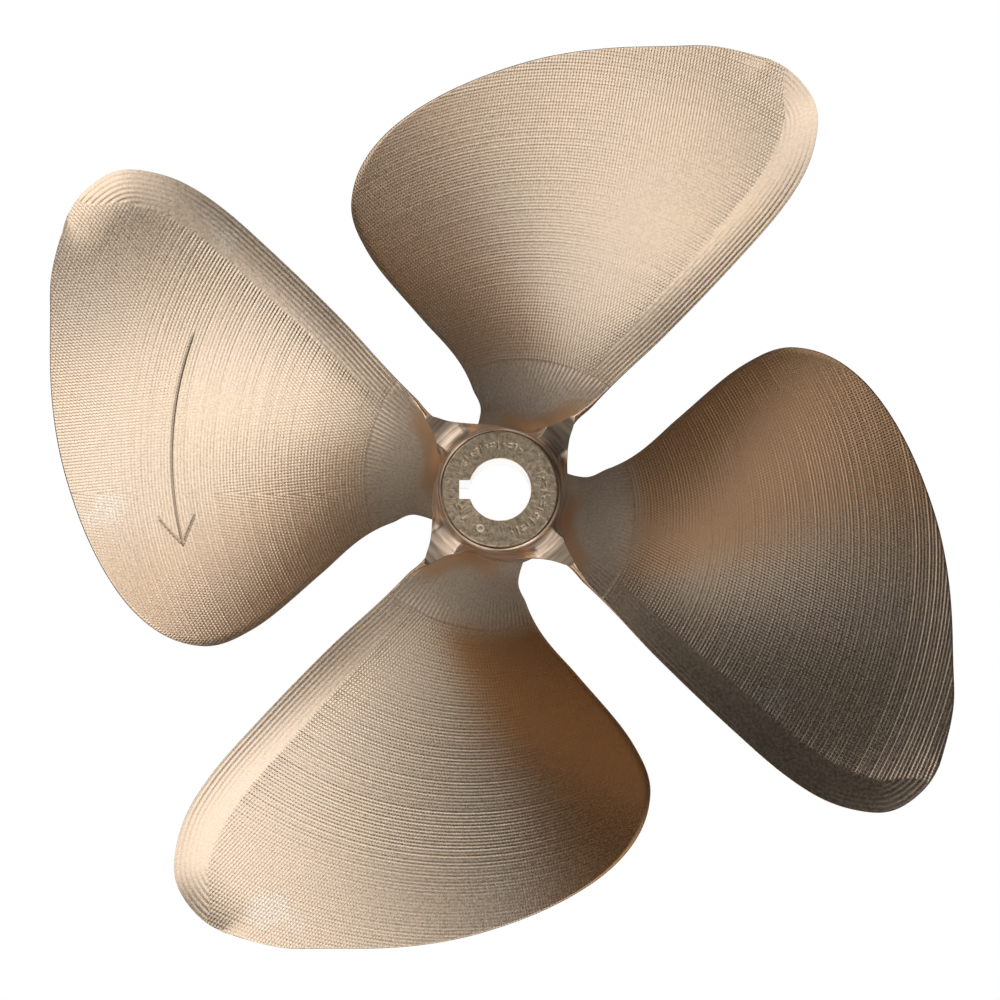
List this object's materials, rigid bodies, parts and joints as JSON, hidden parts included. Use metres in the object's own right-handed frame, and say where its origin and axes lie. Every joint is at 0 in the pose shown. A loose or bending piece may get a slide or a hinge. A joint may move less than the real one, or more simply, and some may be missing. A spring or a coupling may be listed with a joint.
{
  "type": "boat propeller",
  "caption": "Left-hand fixed-pitch inboard boat propeller with wide cupped blades, a tapered bore and a keyway.",
  "frame": {"origin": "centre of the hub's forward face, on the shaft axis", "axes": "+Z along the shaft axis towards the aft end (the pressure side); +X away from the keyway"},
  "size_m": [0.3972, 0.3972, 0.1001],
  "materials": {
    "hub_bronze": "turned, slightly tarnished",
    "blade_bronze": "satin, fine milling marks"
  },
  "bodies": {
    "root": {"hub": "hub_bronze", "blade_1": "blade_bronze", "blade_2": "blade_bronze", "blade_3": "blade_bronze", "blade_4": "blade_bronze"}
  },
  "joints": []
}
